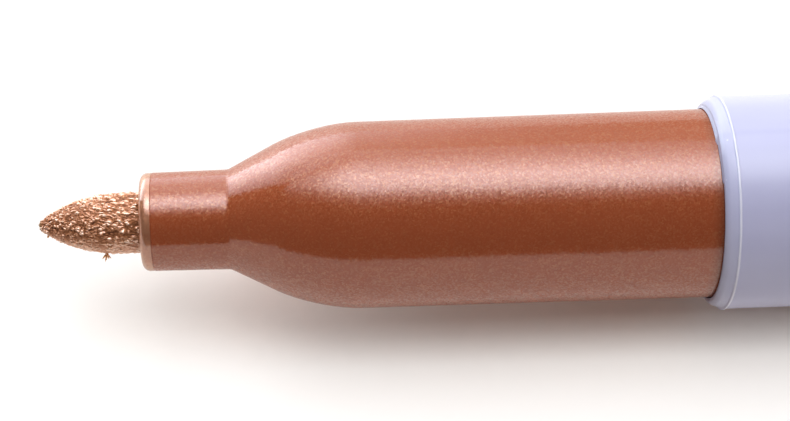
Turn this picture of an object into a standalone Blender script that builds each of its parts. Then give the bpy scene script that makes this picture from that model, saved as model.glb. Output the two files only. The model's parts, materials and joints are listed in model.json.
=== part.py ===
"""A metallic-ink marker with its cap posted on the tail.

It lies on its side with the nib towards -X, resting on the cap's rim and on one edge of the
clip.  The origin is on the surface it lies on, under the middle of the whole marker.

The pieces are turned about the marker's own axis.  A station is a distance along that axis
from the tip of the nib towards the tail, and one empty lays the axis along X.
"""

import math

import bmesh
import bpy
from mathutils import Matrix, Vector

# Facets of the turned pieces
SIDES = 40
CHORD_ERROR = 0.00001
MERGE_DISTANCE = 0.000001

# Fits
SLIP_GAP = 0.0001
SEAT_GAP = 0.0003

# Nib
NIB_DIAMETER = 0.0033
NIB_REACH = 0.0054
NIB_POINT_LENGTH = 0.0042
NIB_TIP_DIAMETER = 0.0003
NIB_POINT_SWELL = 0.86
NIB_POINT_RINGS = 12
NIB_LENGTH = 0.0235
NIB_TAIL_LENGTH = 0.0022
NIB_TAIL_DIAMETER = 0.0016

# Barrel
BARREL_DIAMETER = 0.0112
BARREL_LENGTH = 0.084
BARREL_TAPER = 0.0003
BARREL_WALL = 0.0009
BARREL_TAIL_ROUND = 0.0003
LIP_CHAMFER_WIDTH = 0.00055
LIP_CHAMFER_LENGTH = 0.0006
LIP_GAP = 0.0001
LIP_DEPTH = 0.0012

# Front section
SECTION_LENGTH = 0.0295
BODY_TAPER = 0.0002
NECK_LENGTH = 0.0047
NECK_WALL = 0.0006
NECK_FLARE = 0.0001
RIM_ROUND = 0.00045
CREASE_ROUND = 0.0015
SHOULDER_ANGLE = math.radians(28)
SHOULDER_BLEND = 0.0095
SHOULDER_WALL_SHIFT = 0.0014
SPIGOT_LENGTH = 0.009
SPIGOT_WALL = 0.00075
SPIGOT_CHAMFER = 0.0004
SNAP_HEIGHT = 0.00015
SNAP_LENGTH = 0.0012
SNAP_SETBACK = 0.003
NIB_CHANNEL = 0.0003
NIB_RIBS = 5
NIB_RIB_WIDTH = 0.0005
NIB_RIB_SETBACK = 0.0006

# Reservoir
FILM_THICKNESS = 0.00015
NIB_SOCKET_SLACK = 0.0004

# Rear plug
TAIL_LENGTH = 0.0115
TAIL_WALL = 0.0012
TAIL_ROUND = 0.0018
TAIL_DIMPLE_DIAMETER = 0.0026
TAIL_DIMPLE_DEPTH = 0.0004
PLUG_DEPTH = 0.008
PLUG_FINS = 4
PLUG_FIN_LENGTH = 0.0135
PLUG_FIN_WIDTH = 0.0009
PLUG_FIN_INNER = 0.0008

# Cap
CAP_HEADROOM = 0.0076
CAP_WALL = 0.0007
CAP_TAPER = 0.001
CAP_END_WALL = 0.0013
CAP_END_ROUND = 0.0009
CAP_MOUTH_ROUND = 0.00025
CAP_LEAD_IN = 0.0003
CAP_DRAFT = 0.0002
CAP_RIBS = 6
CAP_RIB_HEIGHT = 0.0002
CAP_RIB_WIDTH = 0.0007
CAP_RIB_LENGTH = 0.014
CAP_RIB_SETBACK = 0.001
LINER_LEDGE = 0.0006
LINER_SOCKET_DEPTH = 0.0027

# Clip
CLIP_WIDTH = 0.004
CLIP_THICKNESS = 0.0014
CLIP_GAP = 0.0009
CLIP_TIP_INSET = 0.0055
CLIP_SETBACK = 0.0008
CLIP_ROOT_LENGTH = 0.0045
CLIP_ROOT_DEPTH = 0.0004
CLIP_ROOT_ROUND = 0.0009
CLIP_CORNER_ROUND = 0.0013
CLIP_TIP_ROUND = 0.0005
CLIP_EDGE_ROUND = 0.0003
CLIP_TIP_THINNING = 0.0003
PAD_GAP = 0.0003
PAD_LENGTH = 0.0016
PAD_RAMP = 0.0016
PAD_ROUND = 0.0012

# Cap liner
LINER_FLANGE = 0.001
LINER_WALL = 0.00065
LINER_END_WALL = 0.0009
LINER_MOUTH_FLARE = 0.0004
LINER_BEAD_HEIGHT = 0.0001
LINER_BEAD_LENGTH = 0.0012
LINER_END_ROUND = 0.0003
LINER_NOTCHES = 4
LINER_NOTCH_WIDTH = 0.0012
LINER_NOTCH_DEPTH = 0.0007

# Reach used to make cutters and ribs run into or past a wall
OVERRUN = 0.0002

# Radii that several pieces share
nib_radius = NIB_DIAMETER / 2
neck_bore_radius = nib_radius + NIB_CHANNEL
rim_radius = neck_bore_radius + NECK_WALL
neck_radius = rim_radius + NECK_FLARE / 2
barrel_radius = BARREL_DIAMETER / 2
barrel_tail_radius = barrel_radius - BARREL_TAPER / 2
barrel_bore_radius = barrel_radius - BARREL_WALL
barrel_tail_bore_radius = barrel_tail_radius - BARREL_WALL
lip_radius = barrel_radius - LIP_CHAMFER_WIDTH
collar_radius = lip_radius - LIP_GAP
body_radius = collar_radius - BODY_TAPER / 2
spigot_radius = barrel_bore_radius - SLIP_GAP
chamber_radius = spigot_radius - SPIGOT_WALL
film_radius = chamber_radius - SLIP_GAP
fibre_radius = film_radius - FILM_THICKNESS - SLIP_GAP
cap_rib_radius = collar_radius + SLIP_GAP
cap_bore_radius = cap_rib_radius + CAP_RIB_HEIGHT
cap_radius = cap_bore_radius + CAP_WALL

# Stations that several pieces share
rim = NIB_REACH
crease = rim + NECK_LENGTH
lip = rim + SECTION_LENGTH
collar_end = lip + LIP_DEPTH - SEAT_GAP
spigot_end = collar_end + SPIGOT_LENGTH
cone_start = crease + SHOULDER_WALL_SHIFT
chamber_start = cone_start + (chamber_radius - neck_bore_radius) / math.tan(SHOULDER_ANGLE)
barrel_end = lip + BARREL_LENGTH
tail_start = barrel_end + SEAT_GAP
tail_end = tail_start + TAIL_LENGTH
cup_floor = tail_end - TAIL_WALL
fin_start = cup_floor - PLUG_FIN_LENGTH
reservoir_start = chamber_start + SEAT_GAP
reservoir_end = fin_start - SEAT_GAP
snap_start = collar_end + SNAP_SETBACK
snap_end = snap_start + SNAP_LENGTH

# Cap stations: on the marker the cap's depth equals the section's reach plus its headroom
cap_mouth = barrel_end + SEAT_GAP
cap_length = lip + CAP_HEADROOM
cap_end = cap_mouth + cap_length
cap_floor = cap_end - CAP_END_WALL
flange_start = cap_mouth + lip - crease
flange_end = flange_start + LINER_FLANGE
ledge = flange_end + SEAT_GAP
socket_start = cap_floor - LINER_SOCKET_DEPTH
liner_radius = neck_radius + SLIP_GAP + LINER_BEAD_HEIGHT + LINER_WALL

# Clip levels, measured from the axis
clip_inner_radius = cap_radius + CLIP_GAP
clip_outer_radius = clip_inner_radius + CLIP_THICKNESS

# The marker rests on the cap's rim and rolls until the clip's rounded edge meets the surface
clip_edge_out = clip_outer_radius - CLIP_EDGE_ROUND
clip_edge_side = CLIP_WIDTH / 2 - CLIP_EDGE_ROUND
clip_roll = math.atan2(clip_edge_side, clip_edge_out) + math.acos(
    (cap_radius - CLIP_EDGE_ROUND) / math.hypot(clip_edge_out, clip_edge_side)
)
clip_reach = (
    clip_edge_out * math.sin(clip_roll) + clip_edge_side * math.cos(clip_roll) + CLIP_EDGE_ROUND
)


def clear_scene():
    """Removes what the file holds before the model is made."""
    for old in list(bpy.data.objects):
        bpy.data.objects.remove(old, do_unlink=True)


def new_collection(name):
    """A collection of the scene with this name."""
    collection = bpy.data.collections.new(name)
    bpy.context.scene.collection.children.link(collection)
    return collection


clear_scene()
parts = new_collection("metallic_marker")
tools = new_collection("metallic_marker_tools")

# The empty turns local Z, the marker's axis, along world X and local X straight down
axis = bpy.data.objects.new("marker_axis", None)
axis.rotation_euler = (0, math.pi / 2, 0)
axis.location = (-cap_end / 2, (cap_radius - clip_reach) / 2, cap_radius)
parts.objects.link(axis)


def plastic(name, colour, roughness, metallic=0.0):
    """A Principled material of one finish."""
    material = bpy.data.materials.new(name)
    material.use_nodes = True
    shader = material.node_tree.nodes["Principled BSDF"]
    shader.inputs["Base Color"].default_value = (*colour, 1)
    shader.inputs["Roughness"].default_value = roughness
    shader.inputs["Metallic"].default_value = metallic
    return material


bronze = plastic("bronze_pearl_plastic", (0.39, 0.085, 0.031), 0.3, 0.3)
lavender = plastic("lavender_grey_plastic", (0.5, 0.5, 0.67), 0.38)
inked_fibre = plastic("ink_soaked_fibre", (0.6, 0.28, 0.15), 0.6, 0.35)
core_fibre = plastic("reservoir_fibre", (0.2, 0.11, 0.06), 0.95)
clear_film = plastic("clear_film", (0.74, 0.74, 0.72), 0.2)
natural_white = plastic("natural_white_plastic", (0.78, 0.78, 0.75), 0.42)


def rounded(corners):
    """Points through (radius, station, fillet) corners, each rounded by an arc tangent to both sides."""
    points = []
    for index, (radius, station, fillet) in enumerate(corners):
        corner = Vector((radius, station))
        if fillet == 0 or index in (0, len(corners) - 1):
            points.append(corner)
            continue
        back = Vector(corners[index - 1][:2]) - corner
        ahead = Vector(corners[index + 1][:2]) - corner
        half_turn = (math.pi - back.angle(ahead)) / 2
        room = min(back.length, ahead.length) / 2
        tangent = min(fillet * math.tan(half_turn), room)
        fillet = tangent / math.tan(half_turn)
        centre = corner + (back.normalized() + ahead.normalized()).normalized() * math.hypot(fillet, tangent)
        spoke = corner + back.normalized() * tangent - centre
        far_spoke = corner + ahead.normalized() * tangent - centre
        turn = -spoke.angle_signed(far_spoke)
        steps = math.ceil(abs(turn) / (2 * math.acos(max(0, 1 - CHORD_ERROR / fillet))))
        for step in range(steps + 1):
            points.append(centre + Matrix.Rotation(turn * step / steps, 2) @ spoke)
    return points


def add_object(name, mesh, collection):
    """A mesh object on the marker's axis."""
    piece = bpy.data.objects.new(name, mesh)
    piece.parent = axis
    collection.objects.link(piece)
    return piece


def turned(name, outer, inner=()):
    """A piece turned about the axis; both outlines run from the nib end to the tail."""
    outline = list(reversed(outer)) + list(inner)
    edges = [(k, k + 1) for k in range(len(outline) - 1)]
    if inner:
        edges.append((len(outline) - 1, 0))
    mesh = bpy.data.meshes.new(name)
    mesh.from_pydata([(radius, 0, station) for radius, station in outline], edges, [])
    piece = add_object(name, mesh, parts)
    screw = piece.modifiers.new("turn", "SCREW")
    screw.axis = "Z"
    screw.angle = math.tau
    screw.steps = SIDES
    screw.render_steps = SIDES
    screw.use_merge_vertices = True
    screw.merge_threshold = MERGE_DISTANCE
    return piece


def radial_bars(name, count, inner, outer, width, start, end):
    """Bars along the axis, evenly spaced round it, for ribs, fins and notches."""
    bars = bmesh.new()
    size = Vector((outer - inner, width, end - start))
    middle = Vector(((inner + outer) / 2, 0, (start + end) / 2))
    for index in range(count):
        turn = Matrix.Rotation(math.tau * (index + 0.5) / count, 4, "Z")
        place = turn @ Matrix.Translation(middle) @ Matrix.Diagonal(size).to_4x4()
        bmesh.ops.create_cube(bars, size=1, matrix=place)
    mesh = bpy.data.meshes.new(name)
    bars.to_mesh(mesh)
    bars.free()
    return add_tool(name, mesh)


def add_tool(name, mesh):
    """A shape that is joined to a piece or cut from it, and isn't a piece itself."""
    tool = add_object(name, mesh, tools)
    tool.hide_render = True
    tool.display_type = "WIRE"
    return tool


def combine(piece, tool, operation):
    """Joins a tool to a piece or cuts it away."""
    boolean = piece.modifiers.new(tool.name, "BOOLEAN")
    boolean.operation = operation
    boolean.solver = "EXACT"
    boolean.object = tool


def finish(piece, material):
    """Bakes the modifiers, shades the round faces smooth and gives the piece its material."""
    bpy.context.view_layer.update()
    evaluated = piece.evaluated_get(bpy.context.evaluated_depsgraph_get())
    mesh = bpy.data.meshes.new_from_object(evaluated)
    mesh.name = piece.name
    piece.modifiers.clear()
    piece.data = mesh
    mesh.shade_smooth()
    mesh.set_sharp_from_angle(angle=math.radians(35))
    mesh.materials.clear()
    mesh.materials.append(material)


def make_nib():
    """Fibre rod with a bullet point; its tapered tail is pushed into the reservoir."""
    point = [Vector((0, 0)), Vector((NIB_TIP_DIAMETER / 2, 0))]
    for ring in range(1, NIB_POINT_RINGS + 1):
        share = (ring / NIB_POINT_RINGS) ** 1.5
        swell = (1 - (1 - share) ** 2) ** NIB_POINT_SWELL
        radius = NIB_TIP_DIAMETER / 2 + (nib_radius - NIB_TIP_DIAMETER / 2) * swell
        point.append(Vector((radius, NIB_POINT_LENGTH * share)))
    tail = [
        Vector((nib_radius, NIB_LENGTH - NIB_TAIL_LENGTH)),
        Vector((NIB_TAIL_DIAMETER / 2, NIB_LENGTH)),
        Vector((0, NIB_LENGTH)),
    ]
    finish(turned("nib", point + tail), inked_fibre)


def make_front_section():
    """Bottle-shaped moulding: rim, neck, shoulder and body, with a spigot that snaps into the barrel."""
    shoulder_corner = crease + (body_radius - neck_radius) / math.tan(SHOULDER_ANGLE)
    bead_radius = spigot_radius + SNAP_HEIGHT
    outer = rounded(
        [
            (neck_bore_radius, rim, 0),
            (rim_radius, rim, RIM_ROUND),
            (neck_radius, crease, CREASE_ROUND),
            (body_radius, shoulder_corner, SHOULDER_BLEND),
            (collar_radius, collar_end, 0),
            (spigot_radius, collar_end, 0),
            (spigot_radius, snap_start, 0),
            (bead_radius, snap_start + SNAP_HEIGHT, 0),
            (bead_radius, snap_end - SNAP_HEIGHT, 0),
            (spigot_radius, snap_end, 0),
            (spigot_radius, spigot_end - SPIGOT_CHAMFER, 0),
            (spigot_radius - SPIGOT_CHAMFER, spigot_end, 0),
        ]
    )
    inner = rounded(
        [
            (neck_bore_radius, cone_start, 0),
            (chamber_radius, chamber_start, 0),
            (chamber_radius, spigot_end, 0),
        ]
    )
    section = turned("front_section", outer, inner)
    ribs = radial_bars(
        "nib_ribs",
        NIB_RIBS,
        nib_radius + SLIP_GAP,
        neck_bore_radius + OVERRUN,
        NIB_RIB_WIDTH,
        rim + NIB_RIB_SETBACK,
        crease,
    )
    combine(section, ribs, "UNION")
    finish(section, bronze)


def make_barrel():
    """Tapered tube with a chamfered front lip, a seat for the section's collar and a snap groove."""
    groove_radius = barrel_bore_radius + SNAP_HEIGHT
    outer = rounded(
        [
            (lip_radius, lip, 0),
            (barrel_radius, lip + LIP_CHAMFER_LENGTH, 0),
            (barrel_tail_radius, barrel_end, BARREL_TAIL_ROUND),
            (barrel_tail_bore_radius, barrel_end, 0),
        ]
    )
    inner = rounded(
        [
            (lip_radius, lip + LIP_DEPTH, 0),
            (barrel_bore_radius, lip + LIP_DEPTH, 0),
            (barrel_bore_radius, snap_start - SEAT_GAP, 0),
            (groove_radius, snap_start - SEAT_GAP + SNAP_HEIGHT, 0),
            (groove_radius, snap_end + SEAT_GAP - SNAP_HEIGHT, 0),
            (barrel_bore_radius, snap_end + SEAT_GAP, 0),
            (barrel_bore_radius, spigot_end + SEAT_GAP, 0),
        ]
    )
    finish(turned("barrel", outer, inner), lavender)


def make_reservoir():
    """Fibre core with a socket for the nib's tail, and the film wrapped round it."""
    socket_radius = nib_radius + SLIP_GAP
    socket_end = NIB_LENGTH + NIB_SOCKET_SLACK
    core = rounded(
        [
            (0, socket_end, 0),
            (NIB_TAIL_DIAMETER / 2 + SLIP_GAP, socket_end, 0),
            (socket_radius, socket_end - NIB_TAIL_LENGTH, 0),
            (socket_radius, reservoir_start, 0),
            (fibre_radius, reservoir_start, 0),
            (fibre_radius, reservoir_end, 0),
            (0, reservoir_end, 0),
        ]
    )
    finish(turned("ink_reservoir", core), core_fibre)
    film_bore_radius = film_radius - FILM_THICKNESS
    sleeve = [(film_radius, reservoir_start), (film_radius, reservoir_end)]
    bore = [(film_bore_radius, reservoir_start), (film_bore_radius, reservoir_end)]
    finish(turned("reservoir_film", sleeve, bore), clear_film)


def make_rear_plug():
    """Hollow stopper: a spigot inside the barrel, fins behind the reservoir and a round-ended tail."""
    plug_radius = barrel_tail_bore_radius - SLIP_GAP
    plug_start = barrel_end - PLUG_DEPTH
    dimple_radius = TAIL_DIMPLE_DIAMETER / 2
    outer = rounded(
        [
            (chamber_radius, plug_start, 0),
            (plug_radius - SPIGOT_CHAMFER, plug_start, 0),
            (plug_radius, plug_start + SPIGOT_CHAMFER, 0),
            (plug_radius, tail_start, 0),
            (collar_radius, tail_start, 0),
            (collar_radius, tail_end, TAIL_ROUND),
            (dimple_radius, tail_end, 0),
            (dimple_radius - TAIL_DIMPLE_DEPTH, tail_end - TAIL_DIMPLE_DEPTH, 0),
            (0, tail_end - TAIL_DIMPLE_DEPTH, 0),
        ]
    )
    cup = [Vector((chamber_radius, cup_floor)), Vector((0, cup_floor))]
    plug = turned("rear_plug", list(reversed(cup)) + outer)
    fins = radial_bars(
        "plug_fins",
        PLUG_FINS,
        PLUG_FIN_INNER,
        chamber_radius + OVERRUN,
        PLUG_FIN_WIDTH,
        fin_start,
        cup_floor + OVERRUN,
    )
    combine(plug, fins, "UNION")
    finish(plug, bronze)


def make_clip():
    """Side outline of the clip with its root and pad, extruded to the clip's width and rounded."""
    root_end = cap_end - CLIP_SETBACK
    root_start = root_end - CLIP_ROOT_LENGTH
    root_radius = cap_radius - CAP_TAPER / 2 - CLIP_ROOT_DEPTH
    tip = cap_mouth + CLIP_TIP_INSET
    pad_radius = cap_radius + PAD_GAP
    pad_end = tip + PAD_RAMP + PAD_LENGTH
    outline = rounded(
        [
            (root_radius, root_end, 0),
            (clip_outer_radius, root_end, CLIP_CORNER_ROUND),
            (clip_outer_radius - CLIP_TIP_THINNING, tip, CLIP_TIP_ROUND),
            (clip_inner_radius, tip, CLIP_TIP_ROUND),
            (pad_radius, tip + PAD_RAMP, PAD_ROUND),
            (pad_radius, pad_end, PAD_ROUND),
            (clip_inner_radius, pad_end + PAD_RAMP, PAD_ROUND),
            (clip_inner_radius, root_start, CLIP_ROOT_ROUND),
            (root_radius, root_start, 0),
        ]
    )
    curve = bpy.data.curves.new("clip_outline", "CURVE")
    curve.dimensions = "2D"
    curve.fill_mode = "BOTH"
    curve.extrude = CLIP_WIDTH / 2
    spline = curve.splines.new("POLY")
    spline.points.add(len(outline) - 1)
    for point, (radius, station) in zip(spline.points, outline):
        point.co = (radius, station, 0, 1)
    spline.use_cyclic_u = True
    drawn = bpy.data.objects.new("clip_outline", curve)
    tools.objects.link(drawn)
    bpy.context.view_layer.update()
    evaluated = drawn.evaluated_get(bpy.context.evaluated_depsgraph_get())
    mesh = bpy.data.meshes.new_from_object(evaluated)
    bpy.data.objects.remove(drawn, do_unlink=True)
    welded = bmesh.new()
    welded.from_mesh(mesh)
    bmesh.ops.remove_doubles(welded, verts=welded.verts, dist=MERGE_DISTANCE)
    bmesh.ops.recalc_face_normals(welded, faces=welded.faces)
    welded.to_mesh(mesh)
    welded.free()
    clip = add_tool("clip", mesh)
    clip.rotation_euler = (math.pi / 2, 0, clip_roll)
    bevel = clip.modifiers.new("edges", "BEVEL")
    bevel.width = CLIP_EDGE_ROUND
    bevel.segments = 2
    bevel.use_clamp_overlap = False
    bevel.limit_method = "ANGLE"
    bevel.angle_limit = math.radians(50)
    return clip


def make_cap():
    """Cap with grip ribs in its mouth, a ledge and a socket for the liner, and the clip moulded on."""
    end_radius = cap_radius - CAP_TAPER / 2
    seat_radius = cap_bore_radius - CAP_DRAFT / 2
    ledge_radius = seat_radius - LINER_LEDGE
    socket_radius = liner_radius + SLIP_GAP
    outer = rounded(
        [
            (cap_bore_radius + CAP_LEAD_IN, cap_mouth, 0),
            (cap_radius, cap_mouth, CAP_MOUTH_ROUND),
            (end_radius, cap_end, CAP_END_ROUND),
            (0, cap_end, 0),
        ]
    )
    inner = [
        Vector((0, cap_floor)),
        Vector((socket_radius, cap_floor)),
        Vector((socket_radius, socket_start)),
        Vector((ledge_radius - CAP_DRAFT / 2, socket_start)),
        Vector((ledge_radius, ledge)),
        Vector((seat_radius, ledge)),
        Vector((cap_bore_radius, cap_mouth + CAP_LEAD_IN)),
    ]
    cap = turned("cap", inner + outer)
    ribs = radial_bars(
        "cap_ribs",
        CAP_RIBS,
        cap_rib_radius,
        cap_bore_radius + OVERRUN,
        CAP_RIB_WIDTH,
        cap_mouth + CAP_RIB_SETBACK,
        cap_mouth + CAP_RIB_SETBACK + CAP_RIB_LENGTH,
    )
    combine(cap, ribs, "UNION")
    combine(cap, make_clip(), "UNION")
    finish(cap, bronze)


def make_cap_liner():
    """Soft cup that seals round the neck: notched flange, sealing bead and closed end."""
    flange_radius = cap_bore_radius - CAP_DRAFT / 2 - SLIP_GAP
    bore_radius = liner_radius - LINER_WALL
    bead_radius = bore_radius - LINER_BEAD_HEIGHT
    bead_start = flange_end
    bead_end = bead_start + LINER_BEAD_LENGTH
    liner_end = cap_floor - SEAT_GAP
    inner = [
        Vector((0, liner_end - LINER_END_WALL)),
        Vector((bore_radius, liner_end - LINER_END_WALL)),
        Vector((bore_radius, bead_end)),
        Vector((bead_radius, bead_end - LINER_BEAD_LENGTH / 3)),
        Vector((bead_radius, bead_start + LINER_BEAD_LENGTH / 3)),
        Vector((bore_radius, bead_start)),
    ]
    outer = rounded(
        [
            (bore_radius + LINER_MOUTH_FLARE, flange_start, 0),
            (flange_radius, flange_start, 0),
            (flange_radius, flange_end, 0),
            (liner_radius, flange_end, 0),
            (liner_radius, liner_end, LINER_END_ROUND),
            (0, liner_end, 0),
        ]
    )
    liner = turned("cap_liner", inner + outer)
    notches = radial_bars(
        "liner_notches",
        LINER_NOTCHES,
        flange_radius - LINER_NOTCH_DEPTH,
        flange_radius + OVERRUN,
        LINER_NOTCH_WIDTH,
        flange_start - OVERRUN,
        flange_end + OVERRUN,
    )
    combine(liner, notches, "DIFFERENCE")
    finish(liner, natural_white)


make_nib()
make_front_section()
make_barrel()
make_reservoir()
make_rear_plug()
make_cap()
make_cap_liner()
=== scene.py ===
"""The looks of a metallic-ink marker that lies on its side with its cap posted on the tail.

The sections follow the order in which such a marker is put together.  A station is a distance
along the marker from the tip of its nib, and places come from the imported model.
"""

import json
import math

import bmesh
import bpy
from mathutils import Matrix, Quaternion, Vector, noise


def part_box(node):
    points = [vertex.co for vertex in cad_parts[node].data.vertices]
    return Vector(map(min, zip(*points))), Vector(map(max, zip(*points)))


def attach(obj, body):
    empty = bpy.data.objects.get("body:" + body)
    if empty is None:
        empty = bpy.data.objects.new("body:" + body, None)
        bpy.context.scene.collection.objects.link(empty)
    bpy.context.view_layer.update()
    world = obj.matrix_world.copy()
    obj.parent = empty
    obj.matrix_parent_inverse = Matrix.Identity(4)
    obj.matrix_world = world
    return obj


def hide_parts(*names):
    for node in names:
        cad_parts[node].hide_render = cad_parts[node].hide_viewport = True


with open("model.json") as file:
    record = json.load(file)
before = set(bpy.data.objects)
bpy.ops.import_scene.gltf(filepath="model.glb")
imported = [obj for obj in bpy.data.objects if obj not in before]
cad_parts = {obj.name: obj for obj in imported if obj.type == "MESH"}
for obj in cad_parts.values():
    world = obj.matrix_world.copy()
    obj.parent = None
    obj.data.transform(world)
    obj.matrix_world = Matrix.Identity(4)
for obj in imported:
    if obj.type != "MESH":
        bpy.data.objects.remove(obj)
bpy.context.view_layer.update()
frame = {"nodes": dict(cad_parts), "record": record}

# Front section: the bottle-shaped bronze moulding that carries the nib and is held while writing.
# Glossy plastic filled with bronze pearl flakes, injection moulded in one piece with the spigot that
# snaps into the barrel.  Ink has crept over the rim round the nib and dried there as a film.
MM = 0.001
MERGE_DISTANCE = 0.0001 * MM
FILLET_STEP = math.radians(3)
CRISP_ANGLE = math.radians(35)
SECTORS = 20
TURN_STEPS = 180

nib_low, nib_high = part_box("nib")
section_low, section_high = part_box("front_section")
barrel_low, barrel_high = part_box("barrel")
tip_x = nib_low.x
axis_y = (section_low.y + section_high.y) / 2
axis_z = (section_low.z + section_high.z) / 2

rim = section_low.x - tip_x
spigot_end = section_high.x - tip_x
lip = barrel_low.x - tip_x
nib_radius = (nib_high.z - nib_low.z) / 2
barrel_radius = (barrel_high.z - barrel_low.z) / 2
collar_radius = (section_high.z - section_low.z) / 2
barrel_wall = 0.9 * MM
slip_gap = 0.1 * MM
seat_gap = 0.3 * MM
edge_round = 0.1 * MM

neck_bore_radius = nib_radius + 0.3 * MM
rim_radius = neck_bore_radius + 0.6 * MM
rim_round = 0.4 * MM
neck_radius = rim_radius + 0.05 * MM
crease = rim + 4.55 * MM
crease_round = 0.45 * MM
body_radius = collar_radius - 0.1 * MM
shoulder_angle = math.radians(27.2)
shoulder_corner = crease + (body_radius - neck_radius) / math.tan(shoulder_angle)
shoulder_round = 9.5 * MM
collar_end = lip + 0.9 * MM
spigot_radius = barrel_radius - barrel_wall - slip_gap
spigot_chamfer = 0.4 * MM
chamber_radius = spigot_radius - 0.75 * MM
cone_start = crease + 1.55 * MM
cone_angle = math.radians(28)
cone_round = 0.3 * MM
chamber_start = cone_start + (chamber_radius - neck_bore_radius) / math.tan(cone_angle)
snap_start = collar_end + 3 * MM
snap_end = snap_start + 1.2 * MM
snap_height = 0.15 * MM
film_end = rim + 0.58 * MM
film_step = 0.02 * MM
film_wander = 0.012 * MM
lip_shade_reach = 0.6 * MM
NIB_RIBS = 5
nib_rib_width = 0.5 * MM
nib_rib_start = rim + 0.6 * MM
nib_rib_foot = rim + 0.4 * MM


def at(station, radius, turn=0.0):
    """The point at a station and a distance from the axis, turned from straight up towards +Y."""
    return Vector((tip_x + station, axis_y + radius * math.sin(turn), axis_z + radius * math.cos(turn)))


def station_of(point):
    """How far a point lies along the marker from the nib's tip."""
    return point.x - tip_x


def radius_of(point):
    """How far a point lies from the marker's axis."""
    return math.hypot(point.y - axis_y, point.z - axis_z)


def turn_of(point):
    """The turn of a point about the axis, from straight up towards +Y."""
    return math.atan2(point.y - axis_y, point.z - axis_z)


def round_corner(shape, corner, fillet):
    """Rounds one corner of a wire outline with an arc of that radius."""
    before, after = [edge.other_vert(corner).co - corner.co for edge in corner.link_edges]
    bend = math.pi - before.angle(after)
    bmesh.ops.bevel(
        shape,
        geom=[corner],
        offset=fillet * math.tan(bend / 2),
        offset_type="OFFSET",
        affect="VERTICES",
        segments=max(4, math.ceil(bend / FILLET_STEP)),
        profile=0.5,
        material=-1,
        clamp_overlap=False,
    )


def outlined(corners, closed=True):
    """A wire outline above the axis, from (station, radius, fillet) corners."""
    shape = bmesh.new()
    outline = [shape.verts.new(at(station, radius)) for station, radius, fillet in corners]
    sides = list(zip(outline, outline[1:]))
    if closed:
        sides.append((outline[-1], outline[0]))
    for side in sides:
        shape.edges.new(side)
    for corner, (station, radius, fillet) in zip(outline, corners):
        if fillet:
            round_corner(shape, corner, fillet)
    return shape


def turned(corners, steps, closed=True):
    """A shape spun round the marker's axis from the outline with those corners.

    One sector is spun from the outline and then copied round, which is far quicker than one full spin.
    """
    shape = outlined(corners, closed)
    sector = math.tau / SECTORS
    about = {"cent": at(0, 0), "axis": (1, 0, 0)}
    wire = shape.verts[:] + shape.edges[:]
    bmesh.ops.spin(shape, geom=wire, angle=sector, steps=steps // SECTORS, **about)
    wedge = shape.verts[:] + shape.edges[:] + shape.faces[:]
    round_trip = {"angle": math.tau - sector, "steps": SECTORS - 1, "use_duplicate": True}
    bmesh.ops.spin(shape, geom=wedge, **round_trip, **about)
    bmesh.ops.remove_doubles(shape, verts=shape.verts, dist=MERGE_DISTANCE)
    bmesh.ops.recalc_face_normals(shape, faces=shape.faces)
    return shape


def push_bars(shape, count, width, start, end, wall, to):
    """Moves bars of a round wall in or out: evenly spaced, along the axis between two stations."""
    for vert in shape.verts:
        along = start - MERGE_DISTANCE < station_of(vert.co) < end + MERGE_DISTANCE
        if not along or abs(radius_of(vert.co) - wall) > slip_gap / 2:
            continue
        share = turn_of(vert.co) / math.tau * count % 1
        if abs(share - 0.5) / count * math.tau * wall < width / 2:
            vert.co = at(station_of(vert.co), to, turn_of(vert.co))


def add_piece(name, shape, material, body, crisp=CRISP_ANGLE):
    """Makes a finished shape a piece that rides on a body, smooth but for corners above an angle."""
    mesh = bpy.data.meshes.new(name)
    shape.to_mesh(mesh)
    shape.free()
    mesh.shade_smooth()
    mesh.set_sharp_from_angle(angle=crisp)
    mesh.materials.append(material)
    piece = bpy.data.objects.new(name, mesh)
    bpy.context.scene.collection.objects.link(piece)
    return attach(piece, body)


def new_material(name):
    """A material with nodes, and its shader."""
    material = bpy.data.materials.new(name)
    material.use_nodes = True
    return material, material.node_tree.nodes["Principled BSDF"]


def set_sockets(node, values):
    """Sets input sockets of a node to plain values."""
    for socket, value in values.items():
        node.inputs[socket].default_value = value


def add_node(material, kind, sockets=None, **settings):
    """A node of a material, light or world, with its settings and the values of its sockets."""
    node = material.node_tree.nodes.new(kind)
    for setting, value in settings.items():
        setattr(node, setting, value)
    set_sockets(node, sockets or {})
    return node


def join(material, source, target):
    """Links an output socket to an input socket."""
    material.node_tree.links.new(source, target)


def feed(material, value, target):
    """Gives an input socket an output socket, a number or a colour."""
    if isinstance(value, bpy.types.NodeSocket):
        join(material, value, target)
    elif isinstance(value, float):
        target.default_value = value
    else:
        target.default_value = (*value, 1)


def place_in(material):
    """The output that gives a point's place on the piece."""
    return add_node(material, "ShaderNodeTexCoord").outputs["Object"]


def parts_of(material, place):
    """The outputs that give a place's X, Y and Z."""
    node = add_node(material, "ShaderNodeSeparateXYZ")
    join(material, place, node.inputs["Vector"])
    return node.outputs


def ramp(material, source, stops, interpolation="LINEAR"):
    """A colour ramp over a value, from (position, colour) stops."""
    node = add_node(material, "ShaderNodeValToRGB")
    node.color_ramp.interpolation = interpolation
    while len(node.color_ramp.elements) < len(stops):
        node.color_ramp.elements.new(0.5)
    for element, (position, colour) in zip(node.color_ramp.elements, stops):
        element.position = position
        element.color = (*colour, 1)
    join(material, source, node.inputs["Fac"])
    return node.outputs["Color"]


def grey_ramp(material, source, stops, interpolation="LINEAR"):
    """A ramp over a value that gives shares, from (position, share) stops."""
    greys = [(position, (share, share, share)) for position, share in stops]
    return ramp(material, source, greys, interpolation)


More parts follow.
